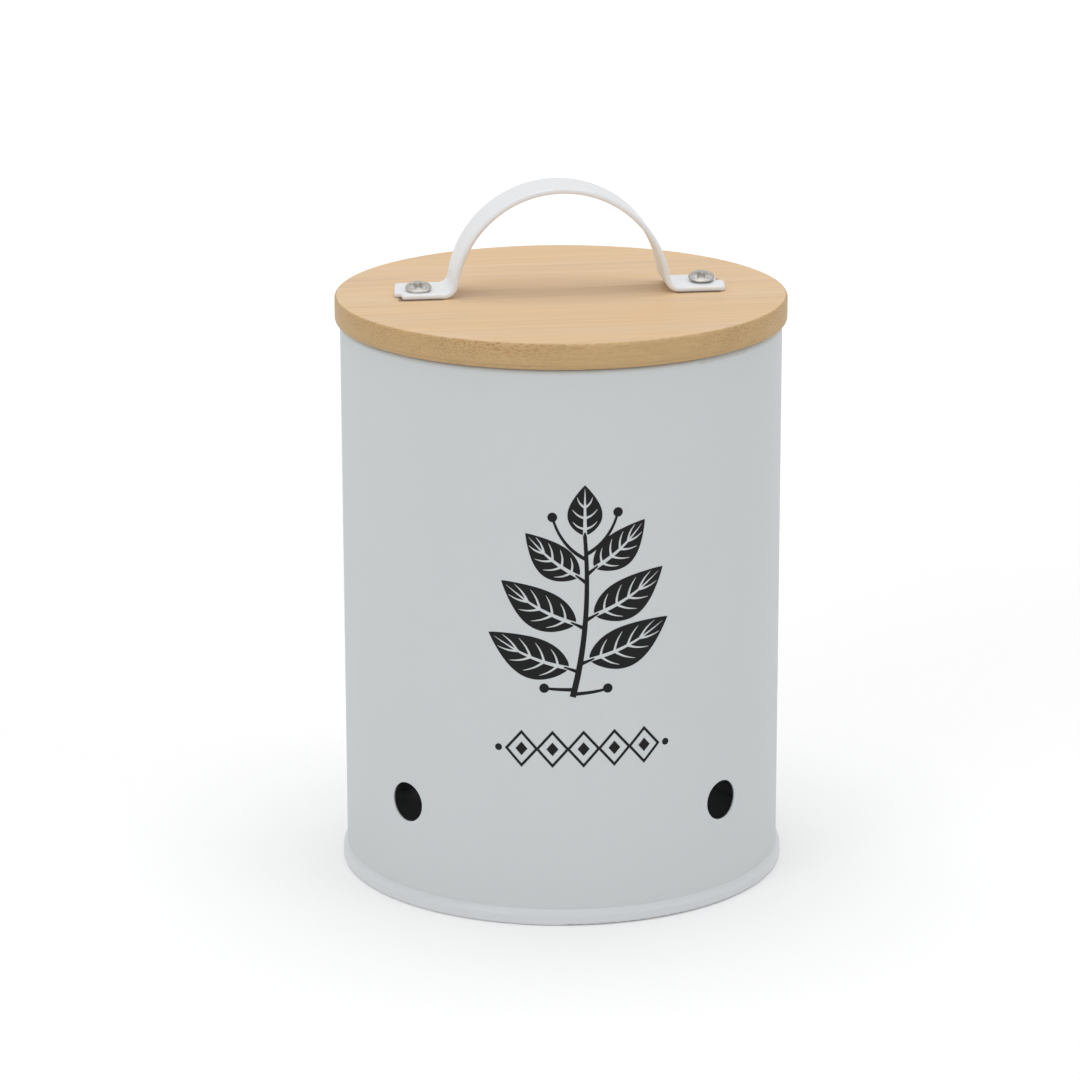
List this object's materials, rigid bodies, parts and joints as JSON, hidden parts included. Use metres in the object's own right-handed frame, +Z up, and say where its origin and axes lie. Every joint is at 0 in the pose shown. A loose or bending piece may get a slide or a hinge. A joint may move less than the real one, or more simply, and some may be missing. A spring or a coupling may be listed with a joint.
{
  "type": "garlic keeper",
  "caption": "Round white painted tin with vent holes low in the wall, a bamboo lid that lifts off and an arched strap handle screwed to the lid, for keeping garlic.",
  "frame": {"origin": "centre of the foot ring on the table", "axes": "+Z up through the tin's axis, -Y through the middle of the front pair of vents, lid seam and handle seen from there, lock seam of the wall at +Y"},
  "size_m": [0.11, 0.11, 0.1698],
  "materials": {
    "tin_paint": "satin cool white stoved paint on tinplate",
    "strap_paint": "satin white powder coat",
    "bamboo": "pale laminated bamboo, sanded and oiled",
    "silicone": "milky silicone",
    "screw_plating": "bright zinc plate"
  },
  "bodies": {
    "tin": {"body_shell": "tin_paint", "base_disc": "tin_paint"},
    "seal": {"lid_seal": "silicone"},
    "lid": {"lid_board": "bamboo", "lid_plug": "bamboo", "handle": "strap_paint", "handle_screw_left": "screw_plating", "handle_screw_right": "screw_plating"}
  },
  "joints": [
    {"name": "lid_lift", "type": "slide", "parent": "tin", "child": "seal", "axis": [0, 0, 1], "range_m": [0, 0.12]},
    {"name": "lid_turn", "type": "hinge", "parent": "seal", "child": "lid", "pos_m": [0, 0, 0.13695], "axis": [0, 0, 1], "continuous": true}
  ]
}
